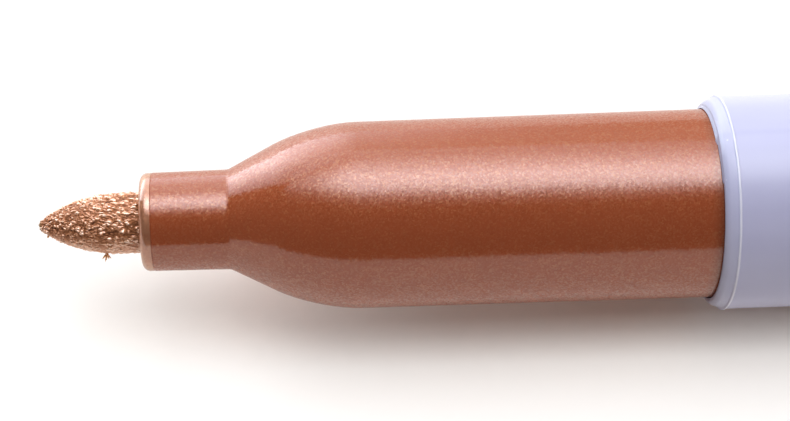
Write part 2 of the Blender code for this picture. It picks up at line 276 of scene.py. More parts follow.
def spread(material, source, low, high, to_low, to_high):
    """Maps a value from one range to another and holds it at the ends."""
    values = {"From Min": low, "From Max": high, "To Min": to_low, "To Max": to_high}
    node = add_node(material, "ShaderNodeMapRange", values)
    join(material, source, node.inputs["Value"])
    return node.outputs["Result"]


def mixed(material, share, first, second, blend="MIX"):
    """A mix of two colours by a share, where each may be an output or a plain value."""
    node = add_node(material, "ShaderNodeMix", data_type="RGBA", blend_type=blend)
    feed(material, share, node.inputs[0])
    feed(material, first, node.inputs[6])
    feed(material, second, node.inputs[7])
    return node.outputs[2]


def calculated(material, operation, *values):
    """What one math operation makes of outputs or numbers."""
    node = add_node(material, "ShaderNodeMath", operation=operation)
    for value, target in zip(values, node.inputs):
        feed(material, value, target)
    return node.outputs["Value"]


def clouded(material, place, scale, detail):
    """A soft random pattern over places, between 0 and 1."""
    node = add_node(material, "ShaderNodeTexNoise", {"Scale": scale, "Detail": detail})
    join(material, place, node.inputs["Vector"])
    return node.outputs["Fac"]


def tilted(material, lean, amount):
    """The surface's normal, leaning by a vector times an amount."""
    tilt = add_node(material, "ShaderNodeVectorMath", {"Scale": amount}, operation="SCALE")
    join(material, lean, tilt.inputs[0])
    surface = add_node(material, "ShaderNodeNewGeometry")
    facing = add_node(material, "ShaderNodeVectorMath", operation="ADD")
    join(material, tilt.outputs["Vector"], facing.inputs[0])
    join(material, surface.outputs["Normal"], facing.inputs[1])
    facet = add_node(material, "ShaderNodeVectorMath", operation="NORMALIZE")
    join(material, facing.outputs["Vector"], facet.inputs[0])
    return facet.outputs["Vector"]


def bronze_plastic(name, film=False):
    """Clear-skinned plastic over bronze pearl flakes.

    With film, dried ink covers it up to film_end, and painted shade darkens it towards the barrel's lip.
    """
    material, shader = new_material(name)
    place = place_in(material)
    flakes = add_node(material, "ShaderNodeTexVoronoi", {"Scale": 12000.0})
    join(material, place, flakes.inputs["Vector"])
    flake = add_node(material, "ShaderNodeSeparateColor")
    join(material, flakes.outputs["Color"], flake.inputs["Color"])
    hues = ((0.0, (0.318, 0.066, 0.022)), (0.90, (0.330, 0.070, 0.023)), (0.98, (0.350, 0.083, 0.026)))
    colour = ramp(material, flake.outputs["Red"], hues)
    clouds = clouded(material, place, scale=420.0, detail=3.0)
    shade = ramp(material, clouds, ((0.3, (0.97, 0.96, 0.95)), (0.7, (1.0, 1.0, 1.0))))
    colour = mixed(material, 1.0, colour, shade, "MULTIPLY")
    gloss = spread(material, flake.outputs["Green"], 0, 1, 0.28, 0.42)
    glint = grey_ramp(material, flake.outputs["Blue"], ((0.0, 0.45), (0.7, 0.50), (0.95, 0.65)))
    gleam = grey_ramp(material, flake.outputs["Red"], ((0.0, 0.0), (0.5, 0.10), (1.0, 0.75)))
    lean = add_node(material, "ShaderNodeVectorMath", {1: (0.5, 0.5, 0.5)}, operation="SUBTRACT")
    join(material, flakes.outputs["Color"], lean.inputs[0])
    plain_sockets = {
        "Metallic": 0.15,
        "Specular Tint": (1.0, 0.76, 0.38, 1),
        "Coat Roughness": 0.1,
        "Coat IOR": 2.0,
    }
    set_sockets(shader, plain_sockets)
    if film:
        edge = clouded(material, place, scale=1800.0, detail=2.0)
        wander = spread(material, edge, 0, 1, -film_wander, film_wander)
        along = parts_of(material, place)["X"]
        film_x = tip_x + film_end
        inked = spread(
            material, calculated(material, "ADD", along, wander), film_x, film_x + film_step, 1, 0
        )
        ink = ramp(material, edge, ((0.35, (0.38, 0.14, 0.07)), (0.65, (0.46, 0.19, 0.10))))
        colour = mixed(material, inked, colour, ink)
        join(material, spread(material, inked, 0, 1, 0.15, 0.5), shader.inputs["Metallic"])
        glint = mixed(material, inked, glint, (0.85, 0.85, 0.85))
        # Painted shade: the section grows darker over its last stretch before the barrel's lip, where the
        # lip stands over it.
        joint_x = tip_x + lip
        painted_lip_shade = spread(material, along, joint_x - lip_shade_reach, joint_x, 0, 0.45)
        colour = mixed(material, painted_lip_shade, colour, (0.10, 0.03, 0.015))
    join(material, colour, shader.inputs["Base Color"])
    join(material, gloss, shader.inputs["Roughness"])
    join(material, gleam, shader.inputs["Specular IOR Level"])
    join(material, tilted(material, lean.outputs["Vector"], 0.14), shader.inputs["Normal"])
    join(material, tilted(material, lean.outputs["Vector"], 0.04), shader.inputs["Coat Normal"])
    join(material, glint, shader.inputs["Coat Weight"])
    return material


section_outline = [
    (rim, neck_bore_radius, edge_round),
    (rim, rim_radius, rim_round),
    (film_end, rim_radius, 0),
    (film_end + film_step, rim_radius - film_step, 0),
    (film_end + 2 * film_step, rim_radius - film_step, 0),
    (film_end + 3 * film_step, rim_radius + film_step / 4, film_step / 2),
    (crease, neck_radius, crease_round),
    (shoulder_corner, body_radius, shoulder_round),
    (collar_end, collar_radius, edge_round),
    (collar_end, spigot_radius, edge_round),
    (snap_start, spigot_radius, 0),
    (snap_start + snap_height, spigot_radius + snap_height, edge_round),
    (snap_end - snap_height, spigot_radius + snap_height, edge_round),
    (snap_end, spigot_radius, 0),
    (spigot_end - spigot_chamfer, spigot_radius, edge_round),
    (spigot_end, spigot_radius - spigot_chamfer, edge_round),
    (spigot_end, chamber_radius, edge_round),
    (chamber_start, chamber_radius, cone_round),
    (cone_start, neck_bore_radius, cone_round),
    (crease + seat_gap, neck_bore_radius, 0),
    (crease, neck_bore_radius, 0),
    (nib_rib_start, neck_bore_radius, 0),
    (nib_rib_foot, neck_bore_radius, 0),
]
section_shape = turned(section_outline, TURN_STEPS)
nib_rib_radius = nib_radius + slip_gap
push_bars(
    section_shape, NIB_RIBS, nib_rib_width, nib_rib_start, crease, neck_bore_radius, nib_rib_radius
)
section = add_piece(
    "section_moulding", section_shape, bronze_plastic("bronze_with_ink_film_and_lip_shade", film=True), "marker"
)
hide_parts("front_section")

# Nib: a rod of bonded fibre ground to a bullet point and pushed through the neck into the reservoir.
# It is soaked in metallic ink and its fibre ends stand out as lumps; painted shade darkens the
# crevices between them.  Writing has worn the lumps flatter on one side and blunted the tip.
nib_length = nib_high.x - tip_x
point_length = 4.2 * MM
POINT_SWELL = 0.86
tip_radius = 0.15 * MM
tip_flat_radius = tip_radius * 0.7
blunting = 0.07 * MM
worn_tip_end = 0.3 * MM
shown_end = rim + 0.3 * MM
tail_length = 2.2 * MM
tail_radius = 0.8 * MM
tail_round = 0.2 * MM
NIB_RINGS = 190
NIB_STEPS = 340
EVEN_SPACING = 0.3
LUMP_HEIGHT = 0.16 * MM
LUMP_WIDTH = 0.15 * MM
LUMP_LENGTH = 0.18 * MM
LUMP_STRETCH = 0.03
LOWEST_LUMP = 0.45
DRAW_SPACING = 5.1
CREVICE_FALL = 3.0
SWERVE = 0.45
SWERVE_FINENESS = 0.7
GRAIN_HEIGHT = 0.5
GRAIN_FINENESS = 2.3
WORN_TURN = math.radians(240)
WORN_HALF = math.radians(65)
WORN_LEVEL = 0.8
WORN_SHARE = 0.4
FIBRE_SEED = 2


def point_radius(station):
    """The bullet point's radius at a station, full beyond its length."""
    rest = max(0, 1 - station / point_length)
    return tip_radius + (nib_radius - tip_radius) * (1 - rest * rest) ** POINT_SWELL


def fibre_relief(point):
    """How far the fibre ends stand out at a point: 0 in a crevice, about 1 on a lump."""
    station = station_of(point)
    along = math.log(1 + LUMP_STRETCH * station / LUMP_LENGTH) / LUMP_STRETCH
    across = Vector((along, (point.y - axis_y) / LUMP_WIDTH, (point.z - axis_z) / LUMP_WIDTH))
    swerve = noise.noise_vector(across * SWERVE_FINENESS) * SWERVE
    gaps, seeds = noise.voronoi(across + swerve)
    lump = 1 - math.exp(-CREVICE_FALL * (gaps[1] - gaps[0]))
    own_height = LOWEST_LUMP + (1 - LOWEST_LUMP) * noise.cell(seeds[0] * DRAW_SPACING)
    grains = abs(noise.noise(across * GRAIN_FINENESS + swerve))
    relief = min(1, lump * own_height + GRAIN_HEIGHT * grains)
    away = abs(turn_of(point) - WORN_TURN) % math.tau
    worn = max(0, 1 - min(away, math.tau - away) / WORN_HALF)
    return relief + (WORN_LEVEL - relief) * WORN_SHARE * worn


noise.seed_set(FIBRE_SEED)
nib_outline = [(blunting, 0, 0), (blunting, tip_flat_radius, 0)]
for ring in range(1, NIB_RINGS + 1):
    share = ring / NIB_RINGS
    crowded = share * (EVEN_SPACING + (1 - EVEN_SPACING) * share)
    nib_station = blunting + (shown_end - blunting) * crowded
    nib_outline.append((nib_station, point_radius(nib_station), 0))
nib_outline += [
    (nib_length - tail_length, nib_radius, tail_round),
    (nib_length, tail_radius, tail_round),
    (nib_length, 0, 0),
]
nib_shape = turned(nib_outline, NIB_STEPS, closed=False)
crevice = nib_shape.verts.layers.float.new("relief")
nib_shape.normal_update()
for vert in nib_shape.verts:
    if station_of(vert.co) < shown_end:
        vert[crevice] = fibre_relief(vert.co)
for vert in nib_shape.verts:
    if 0 < station_of(vert.co) < shown_end:
        vert.co += vert.normal * LUMP_HEIGHT * (vert[crevice] - 1)


def bumped(material, height, strength, distance):
    """The surface's normal with a fine relief on it."""
    node = add_node(material, "ShaderNodeBump", {"Strength": strength, "Distance": distance})
    join(material, height, node.inputs["Height"])
    return node.outputs["Normal"]


def inked_fibre():
    """Bonded fibre under dried metallic ink: copper on the lumps, with painted shade darkening it into the
    crevices.
    """
    material, shader = new_material("inked_nib_fibre")
    place = place_in(material)
    relief = add_node(material, "ShaderNodeAttribute", attribute_name="relief").outputs["Fac"]
    grain = clouded(material, place, scale=16000.0, detail=3.0)
    # Painted shade: the ink's colour runs from bright copper on the lumps to near black deep in the
    # crevices.
    ink = ramp(
        material,
        relief,
        (
            (0.0, (0.12, 0.034, 0.011)),
            (0.30, (0.57, 0.215, 0.083)),
            (0.60, (0.98, 0.470, 0.225)),
            (1.0, (1.0, 0.650, 0.430)),
        ),
    )
    speckle = ramp(material, grain, ((0.3, (0.85, 0.80, 0.75)), (0.7, (1.0, 1.0, 1.0))))
    colour = mixed(material, 1.0, ink, speckle, "MULTIPLY")
    along = parts_of(material, place)["X"]
    worn = spread(material, along, tip_x + blunting, tip_x + worn_tip_end, 0.7, 0)
    colour = mixed(material, worn, colour, (0.42, 0.30, 0.12))
    join(material, colour, shader.inputs["Base Color"])
    join(material, spread(material, relief, 0, 1, 0.55, 0.3), shader.inputs["Roughness"])
    join(material, spread(material, relief, 0.2, 0.7, 0, 1), shader.inputs["Coat Weight"])
    set_sockets(shader, {"Metallic": 0.45, "Coat Roughness": 0.18, "Coat IOR": 3.2})
    grainy = bumped(material, grain, strength=0.4, distance=0.015 * MM)
    join(material, grainy, shader.inputs["Normal"])
    join(material, grainy, shader.inputs["Coat Normal"])
    return material


nib = add_piece("nib_fibre_rod", nib_shape, inked_fibre(), "marker", crisp=math.radians(180))
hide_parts("nib")

# Frayed fibres: a few ends of the nib's fibre that writing has pulled loose, stiff with dried ink.
# They stand in small tufts on the nib's side and near its point; each tuft below has its station,
# its turn, the length of its fibres and their number.
tufts = (
    (3.55 * MM, math.radians(238), 0.40 * MM, 9),
    (0.55 * MM, math.radians(232), 0.10 * MM, 4),
    (4.6 * MM, math.radians(20), 0.12 * MM, 4),
)
FIBRE_RADIUS = 0.07 * MM
FIBRE_TIP_RADIUS = FIBRE_RADIUS / 5
FIBRE_SIDES = 6
FIBRE_DEPTH = 0.03 * MM
FIBRE_FAN = math.radians(62)
FIBRE_SHORTENING = 0.45
GOLDEN_TURN = math.radians(137.5)
GOLDEN_SHARE = 0.618
fray_shape = bmesh.new()
for tuft_station, tuft_turn, fibre_length, fibre_count in tufts:
    root = at(tuft_station, point_radius(tuft_station) - FIBRE_DEPTH, tuft_turn)
    outward = (at(tuft_station, 1, tuft_turn) - at(tuft_station, 0)).normalized()
    for index in range(fibre_count):
        fan = FIBRE_FAN * math.sqrt((index + 0.5) / fibre_count)
        swing = Matrix.Rotation(index * GOLDEN_TURN, 3, outward)
        lean = Matrix.Rotation(fan, 3, Vector((1, 0, 0)).cross(outward))
        direction = swing @ lean @ outward
        length = fibre_length * (1 - FIBRE_SHORTENING * (index * GOLDEN_SHARE % 1))
        stand = direction.to_track_quat("Z", "Y").to_matrix().to_4x4()
        middle = Matrix.Translation(root + direction * length / 2)
        bmesh.ops.create_cone(
            fray_shape,
            cap_ends=True,
            segments=FIBRE_SIDES,
            radius1=FIBRE_RADIUS,
            radius2=FIBRE_TIP_RADIUS,
            depth=length,
            matrix=middle @ stand,
        )


def frayed_fibre():
    """Loose fibre ends: the nib's ink, dull and mottled along each fibre."""
    material, shader = new_material("frayed_fibre")
    mottle = clouded(material, place_in(material), scale=9000.0, detail=2.0)
    hues = ((0.35, (0.85, 0.46, 0.22)), (0.65, (1.0, 0.68, 0.40)))
    join(material, ramp(material, mottle, hues), shader.inputs["Base Color"])
    join(material, spread(material, mottle, 0, 1, 0.45, 0.7), shader.inputs["Roughness"])
    shader.inputs["Metallic"].default_value = 0.2
    return material


fray = add_piece("nib_frayed_fibres", fray_shape, frayed_fibre(), "marker")

# Ink reservoir and its film: a rod of loose bonded fibre wrapped in clear film, which fills the barrel.
# Both are plain round stock cut to length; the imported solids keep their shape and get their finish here.


def streaked(material, stretch, detail):
    """A soft random pattern over the piece, scaled apart along the marker and across it."""
    node = add_node(material, "ShaderNodeMapping", {"Scale": stretch})
    join(material, place_in(material), node.inputs["Vector"])
    return clouded(material, node.outputs["Vector"], scale=1.0, detail=detail)


def reservoir_fibre():
    """Loose fibre drawn out along the rod, wet with bronze ink."""
    material, shader = new_material("reservoir_fibre")
    strands = streaked(material, stretch=(400, 9000, 9000), detail=4.0)
    hues = ((0.3, (0.12, 0.06, 0.03)), (0.7, (0.30, 0.17, 0.10)))
    join(material, ramp(material, strands, hues), shader.inputs["Base Color"])
    shader.inputs["Roughness"].default_value = 0.85
    rough = bumped(material, strands, strength=0.8, distance=0.05 * MM)
    join(material, rough, shader.inputs["Normal"])
    return material


def clear_film():
    """Thin clear film with faint drawing lines along it."""
    material, shader = new_material("clear_film")
    lines = streaked(material, stretch=(60, 2500, 2500), detail=3.0)
    hues = ((0.3, (0.78, 0.78, 0.76)), (0.7, (0.88, 0.88, 0.87)))
    join(material, ramp(material, lines, hues), shader.inputs["Base Color"])
    join(material, spread(material, lines, 0, 1, 0.1, 0.3), shader.inputs["Roughness"])
    shader.inputs["Transmission Weight"].default_value = 0.8
    return material


for node_name, finish in (("ink_reservoir", reservoir_fibre()), ("reservoir_film", clear_film())):
    frame["nodes"][node_name].data.materials.clear()
    frame["nodes"][node_name].data.materials.append(finish)

# Barrel: the pale lavender-grey tube that holds the reservoir, satin plastic injection moulded with a
# slight taper.  The section's collar sits in its chamfered lip with a dark gap.  The lip ends in a thin
# raised edge, and its inner rim has mould flash: two low steps over the top and back, and a burr.
barrel_end = barrel_high.x - tip_x
barrel_tail_radius = barrel_radius - 0.15 * MM
barrel_tail_round = 0.3 * MM
barrel_bore_radius = barrel_radius - barrel_wall
barrel_tail_bore_radius = barrel_tail_radius - barrel_wall
groove_radius = barrel_bore_radius + snap_height
lip_radius = collar_radius + 0.045 * MM
lip_land = 0.2 * MM
lip_depth = 1.2 * MM
lip_inner_round = 0.03 * MM
lip_outer_round = 0.15 * MM
lip_hollow_round = 0.3 * MM
lip_offset = 0.022 * MM
lip_offset_turn = math.radians(40)
lip_sway = 0.016 * MM
SWAY_FINENESS = 6
EDGE_SWAY = 1.5
chamfer_end = lip + 0.68 * MM
edge_width = 0.08 * MM
edge_height = 0.06 * MM
edge_foot_radius = barrel_radius - 0.7 * edge_width
chamfer_foot_radius = barrel_radius - 0.9 * edge_width
burr_turn = math.radians(5)
burr_reach = 0.22 * MM
burr_height = 0.1 * MM
flash_steps = (math.radians(5), math.radians(-21))
flash_reach = 0.06 * MM
flash_fade_start = math.radians(75)
flash_fade_end = math.radians(110)
parting_y = axis_y + 0.55 * MM
parting_width = 0.3 * MM
BARREL_STEPS = 240


def lavender_plastic():
    """Satin moulded plastic: faint flow streaks along the tube, a fine skin and a few pale specks."""
    material, shader = new_material("lavender_barrel_plastic")
    place = place_in(material)
    flow = streaked(material, stretch=(40, 420, 420), detail=4.0)
    hues = ((0.3, (0.47, 0.462, 0.642)), (0.7, (0.505, 0.497, 0.677)))
    colour = ramp(material, flow, hues)
    specks = add_node(material, "ShaderNodeTexVoronoi", {"Scale": 800.0})
    join(material, place, specks.inputs["Vector"])
    dots = grey_ramp(material, specks.outputs["Distance"], ((0.03, 0.6), (0.06, 0.0)))
    colour = mixed(material, dots, colour, (0.80, 0.80, 0.84))
    parts = parts_of(material, place)
    parting = ramp(
        material,
        spread(material, parts["Y"], parting_y - parting_width, parting_y + parting_width, 0, 1),
        ((0.0, (1.0, 1.0, 1.0)), (0.5, (0.95, 0.95, 0.96)), (1.0, (1.0, 1.0, 1.0))),
        "EASE",
    )
    colour = mixed(material, 1.0, colour, parting, "MULTIPLY")
    lip_x = tip_x + lip
    edge_x = tip_x + chamfer_end
    # Painted shade: the chamfer grows darker towards the lip's inner edge, and along the chamfer the
    # colour is also a little less blue.
    shade = ramp(
        material,
        spread(material, parts["X"], lip_x, edge_x, 0, 1),
        (
            (0.0, (0.78, 0.77, 0.74)),
            (0.4, (0.97, 0.965, 0.93)),
            (0.88, (1.0, 1.0, 0.96)),
            (1.0, (1.0, 1.0, 1.0)),
        ),
    )
    colour = mixed(material, 1.0, colour, shade, "MULTIPLY")
    worn = grey_ramp(
        material,
        spread(material, parts["X"], edge_x - 2 * edge_width, edge_x + 2 * edge_width, 0, 1),
        ((0.28, 0.0), (0.40, 0.7), (0.60, 0.7), (0.72, 0.0)),
    )
    colour = mixed(material, worn, colour, (0.80, 0.79, 0.86))
    join(material, colour, shader.inputs["Base Color"])
    skin = clouded(material, place, scale=5200.0, detail=3.0)
    join(material, spread(material, skin, 0.3, 0.7, 0.3, 0.42), shader.inputs["Roughness"])
    fine = bumped(material, skin, strength=0.5, distance=0.004 * MM)
    join(material, fine, shader.inputs["Normal"])
    plain_sockets = {
        "Subsurface Weight": 0.15,
        "Subsurface Radius": (1.0, 0.9, 1.1),
        "Subsurface Scale": 0.6 * MM,
        "Specular IOR Level": 0.35,
        "Coat Weight": 0.3,
        "Coat Roughness": 0.12,
    }
    set_sockets(shader, plain_sockets)
    return material


barrel_outline = [
    (lip, lip_radius, lip_inner_round),
    (lip, lip_radius + lip_land, lip_outer_round),
    (lip + lip_land, lip_radius + 2 * lip_land, lip_hollow_round),
    (chamfer_end - 2 * edge_width, chamfer_foot_radius, 0),
    (chamfer_end - edge_width, edge_foot_radius, edge_height / 2),
    (chamfer_end - edge_width / 2, barrel_radius + edge_height, edge_height / 2),
    (chamfer_end + edge_width / 2, barrel_radius + edge_height, edge_height / 2),
    (chamfer_end + edge_width, barrel_radius, 0),
    (barrel_end, barrel_tail_radius, barrel_tail_round),
    (barrel_end, barrel_tail_bore_radius, edge_round),
    (spigot_end + seat_gap, barrel_bore_radius, 0),
    (snap_end + seat_gap, barrel_bore_radius, 0),
    (snap_end + seat_gap - snap_height, groove_radius, 0),
    (snap_start - seat_gap + snap_height, groove_radius, 0),
    (snap_start - seat_gap, barrel_bore_radius, 0),
    (lip + lip_depth, barrel_bore_radius, 0),
    (lip + lip_depth, lip_radius, 0),
]
barrel_shape = turned(barrel_outline, BARREL_STEPS)
for vert in barrel_shape.verts:
    lip_turn = turn_of(vert.co)
    round_lip = Vector((math.cos(lip_turn), math.sin(lip_turn), 0))
    sway = lip_sway * noise.noise(round_lip * SWAY_FINENESS)
    in_mouth = station_of(vert.co) < lip + lip_depth / 2
    by_edge = abs(station_of(vert.co) - chamfer_end) < 2 * edge_width
    if in_mouth and abs(radius_of(vert.co) - lip_radius) < lip_land / 2:
        gap_shift = sway - lip_offset * math.cos(lip_turn - lip_offset_turn)
        vert.co = at(station_of(vert.co), radius_of(vert.co) + gap_shift, lip_turn)
        steps_passed = sum(lip_turn > step for step in flash_steps)
        left = min(1, max(0, (flash_fade_end - lip_turn) / (flash_fade_end - flash_fade_start)))
        inner = max(0, 1 - max(0, radius_of(vert.co) - lip_radius) / lip_land)
        vert.co.x -= flash_reach * steps_passed * left * inner
    elif by_edge and radius_of(vert.co) > barrel_radius - edge_width:
        vert.co.x += EDGE_SWAY * sway
burr_place = at(lip, lip_radius, burr_turn)
inward = (at(lip, 0) - at(lip, 1, burr_turn)).normalized()
for vert in barrel_shape.verts:
    reach = (vert.co - burr_place).length / burr_reach
    if reach < 1:
        rise = burr_height * (1 - reach * reach) ** 2
        vert.co += inward * rise - Vector((rise / 2, 0, 0))
barrel = add_piece("barrel_tube", barrel_shape, lavender_plastic(), "marker")
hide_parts("barrel")

# Rear plug: the bronze stopper pressed into the barrel's open tail once the reservoir is in.
# Moulded in the section's plastic; its fins stop the reservoir and its round tail takes the posted cap.
plug_low, plug_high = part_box("rear_plug")
tail_start = barrel_end + seat_gap
tail_end = plug_high.x - tip_x
fin_start = plug_low.x - tip_x
plug_start = barrel_end - 8 * MM
plug_radius = barrel_tail_bore_radius - slip_gap
plug_tail_round = 1.8 * MM
cup_floor = tail_end - 1.2 * MM
cup_round = 0.3 * MM
dimple_radius = 1.3 * MM
dimple_depth = 0.4 * MM
dimple_round = 0.15 * MM
fin_width = 0.9 * MM
fin_inner = 0.8 * MM
FINS = 4
bronze = bronze_plastic("bronze_plastic")


def united(piece, tools):
    """Joins other pieces to a piece as one closed skin and removes them."""
    for tool in tools:
        boolean = piece.modifiers.new(tool.name, "BOOLEAN")
        boolean.operation = "UNION"
        boolean.solver = "EXACT"
        boolean.object = tool
    evaluated = piece.evaluated_get(bpy.context.evaluated_depsgraph_get())
    mesh = bpy.data.meshes.new_from_object(evaluated)
    piece.modifiers.clear()
    piece.data = mesh
    mesh.name = piece.name
    mesh.shade_smooth()
    mesh.set_sharp_from_angle(angle=CRISP_ANGLE)
    for tool in tools:
        bpy.data.objects.remove(tool, do_unlink=True)


plug_outline = [
    (cup_floor, 0, 0),
    (cup_floor, chamber_radius, cup_round),
    (plug_start, chamber_radius, edge_round),
    (plug_start, plug_radius - spigot_chamfer, edge_round),
    (plug_start + spigot_chamfer, plug_radius, edge_round),
    (tail_start, plug_radius, 0),
    (tail_start, collar_radius, edge_round),
    (tail_end, collar_radius, plug_tail_round),
    (tail_end, dimple_radius, dimple_round),
    (tail_end - dimple_depth, dimple_radius - dimple_depth, dimple_round),
    (tail_end - dimple_depth, 0, 0),
]
plug = add_piece("tail_plug", turned(plug_outline, TURN_STEPS, closed=False), bronze, "marker")
fin_shape = bmesh.new()
fin_middle = at((fin_start + cup_floor) / 2, (fin_inner + chamber_radius) / 2 + slip_gap)
fin_size = Matrix.Diagonal((cup_floor - fin_start + slip_gap, fin_width, chamber_radius - fin_inner, 1))
centre = Matrix.Translation(at(0, 0))
for index in range(FINS):
    spoke = centre @ Matrix.Rotation(math.tau * (index + 0.5) / FINS, 4, "X") @ centre.inverted()
    bmesh.ops.create_cube(fin_shape, size=1, matrix=spoke @ Matrix.Translation(fin_middle) @ fin_size)
fins = add_piece("plug_fins", fin_shape, bronze, "marker")
united(plug, [fins])
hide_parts("rear_plug")

# Cap liner: the soft inner cup that seals round the neck when the marker is capped.
# Natural white plastic, moulded thin so that it gives; its notched flange is pressed against the
# cap's ledge.
liner_low, liner_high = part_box("cap_liner")
flange_start = liner_low.x - tip_x
flange_end = flange_start + 1 * MM
liner_end = liner_high.x - tip_x
liner_floor = liner_end - 0.9 * MM
liner_flange_radius = (liner_high.z - liner_low.z) / 2
liner_bore_radius = neck_radius + slip_gap + 0.1 * MM
liner_mouth_radius = liner_bore_radius + 0.4 * MM
liner_radius = liner_bore_radius + 0.65 * MM
liner_end_round = 0.3 * MM
flange_round = 0.2 * MM
bead_length = 1.2 * MM
bead_height = 0.1 * MM
bead_round = 0.2 * MM
NOTCHES = 4
notch_width = 1.2 * MM
notch_depth = 0.7 * MM


def natural_plastic():
    """Unpigmented soft plastic: milky, faintly cloudy and matte."""
    material, shader = new_material("natural_liner_plastic")
    clouds = clouded(material, place_in(material), scale=600.0, detail=4.0)
    hues = ((0.3, (0.74, 0.74, 0.70)), (0.7, (0.82, 0.82, 0.80)))
    join(material, ramp(material, clouds, hues), shader.inputs["Base Color"])
    join(material, spread(material, clouds, 0.3, 0.7, 0.4, 0.55), shader.inputs["Roughness"])
    plain_sockets = {
        "Subsurface Weight": 0.4,
        "Subsurface Radius": (1.0, 1.0, 0.9),
        "Subsurface Scale": 0.8 * MM,
    }
    set_sockets(shader, plain_sockets)
    return material


liner_outline = [
    (liner_floor, 0, 0),
    (liner_floor, liner_bore_radius, liner_end_round),
    (flange_end + bead_length, liner_bore_radius, 0),
    (flange_end + bead_length * 2 / 3, liner_bore_radius - bead_height, bead_round),
    (flange_end + bead_length / 3, liner_bore_radius - bead_height, bead_round),
    (flange_end, liner_bore_radius, bead_round),
    (flange_start, liner_mouth_radius, edge_round),
    (flange_start, liner_flange_radius, edge_round),
    (flange_end, liner_flange_radius, edge_round),
    (flange_end, liner_radius, flange_round),
    (liner_end, liner_radius, liner_end_round),
    (liner_end, 0, 0),
]
liner_shape = turned(liner_outline, TURN_STEPS, closed=False)
for vert in liner_shape.verts:
    share = turn_of(vert.co) / math.tau * NOTCHES % 1
    in_notch = abs(share - 0.5) / NOTCHES * math.tau * liner_flange_radius < notch_width / 2
    if in_notch and radius_of(vert.co) > liner_flange_radius - notch_depth / 2:
        vert.co = at(station_of(vert.co), radius_of(vert.co) - notch_depth, turn_of(vert.co))
liner = add_piece("cap_inner_liner", liner_shape, natural_plastic(), "posted_cap")
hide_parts("cap_liner")

# Cap: bronze like the section, moulded in one piece with its spring clip; here it is pushed on the tail.
# Six ribs in its mouth grip the tail or the collar, and a ledge and a socket inside hold the liner.
cap_low, cap_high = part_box("cap")
cap_mouth = cap_low.x - tip_x
cap_end = cap_high.x - tip_x
cap_radius = axis_z - cap_low.z
cap_end_radius = cap_radius - 0.5 * MM
cap_end_round = 0.9 * MM
cap_mouth_round = 0.25 * MM
cap_rib_radius = collar_radius + slip_gap
cap_bore_radius = cap_rib_radius + 0.2 * MM
cap_seat_radius = cap_bore_radius - 0.1 * MM
cap_ledge_radius = cap_seat_radius - 0.6 * MM
cap_throat_radius = cap_ledge_radius - 0.1 * MM
cap_throat_round = 0.3 * MM
cap_floor = cap_end - 1.3 * MM
socket_start = cap_floor - 2.7 * MM
socket_radius = liner_radius + slip_gap
socket_round = 0.2 * MM
ledge = flange_end + seat_gap
CAP_RIBS = 6
rib_width = 0.7 * MM
rib_start = cap_mouth + 1 * MM
rib_end = rib_start + 14 * MM
rib_ramp = 0.3 * MM
lead_in = 0.3 * MM
lead_in_round = 0.06 * MM
bore_taper = (cap_bore_radius - cap_seat_radius) / (ledge - cap_mouth - lead_in)


def cap_bore_at(station):
    """The radius of the cap's bore, which draws in slightly towards the ledge."""
    return cap_bore_radius - bore_taper * (station - cap_mouth - lead_in)


cap_outline = [
    (cap_floor, 0, 0),
    (cap_floor, socket_radius, socket_round),
    (socket_start, socket_radius, edge_round),
    (socket_start, cap_throat_radius, cap_throat_round),
    (ledge, cap_ledge_radius, edge_round),
    (ledge, cap_seat_radius, edge_round),
    (rib_end + rib_ramp, cap_bore_at(rib_end + rib_ramp), 0),
    (rib_end, cap_bore_at(rib_end), 0),
    (rib_start, cap_bore_at(rib_start), 0),
    (rib_start - rib_ramp, cap_bore_at(rib_start - rib_ramp), 0),
    (cap_mouth + lead_in, cap_bore_radius, edge_round),
    (cap_mouth, cap_bore_radius + lead_in, lead_in_round),
    (cap_mouth, cap_radius, cap_mouth_round),
    (cap_end, cap_end_radius, cap_end_round),
    (cap_end, 0, 0),
]
cap_shape = turned(cap_outline, TURN_STEPS, closed=False)
for station in (rib_start, rib_end):
    push_bars(cap_shape, CAP_RIBS, rib_width, station, station, cap_bore_at(station), cap_rib_radius)
cap = add_piece("cap_moulding", cap_shape, bronze, "posted_cap")

# Clip: the spring arm on the cap's side, with a pad near its tip that grips a pocket edge.
# It is moulded with the cap, so it joins the cap's skin at its root and shares its plastic.
clip_mount = next(mount for mount in frame["record"]["mounts"] if mount["name"] == "clip")
clip_turn = math.atan2(-clip_mount["axis"][1], -clip_mount["axis"][2])
clip_width = 4 * MM
clip_inner = cap_radius + 0.9 * MM
clip_outer = clip_inner + 1.4 * MM
clip_tip_outer = clip_outer - 0.3 * MM
clip_root_end = cap_end - 0.8 * MM
clip_root_start = clip_root_end - 4.5 * MM
clip_root_radius = cap_end_radius - 0.4 * MM
clip_root_round = 0.9 * MM
clip_corner_round = 1.3 * MM
clip_tip = cap_mouth + 5.5 * MM
clip_tip_round = 0.5 * MM
clip_edge_round = 0.3 * MM
CLIP_EDGE_STEPS = 6
SIDEWAYS = 0.9
pad_radius = cap_radius + 0.3 * MM
pad_ramp = 1.6 * MM
pad_end = clip_tip + pad_ramp + 1.6 * MM
pad_round = 1.2 * MM
clip_outline = [
    (clip_root_end, clip_root_radius, 0),
    (clip_root_end, clip_outer, clip_corner_round),
    (clip_tip, clip_tip_outer, clip_tip_round),
    (clip_tip, clip_inner, clip_tip_round),
    (clip_tip + pad_ramp, pad_radius, pad_round),
    (pad_end, pad_radius, pad_round),
    (pad_end + pad_ramp, clip_inner, pad_round),
    (clip_root_start, clip_inner, clip_root_round),
    (clip_root_start, clip_root_radius, 0),
]
clip_shape = outlined(clip_outline)
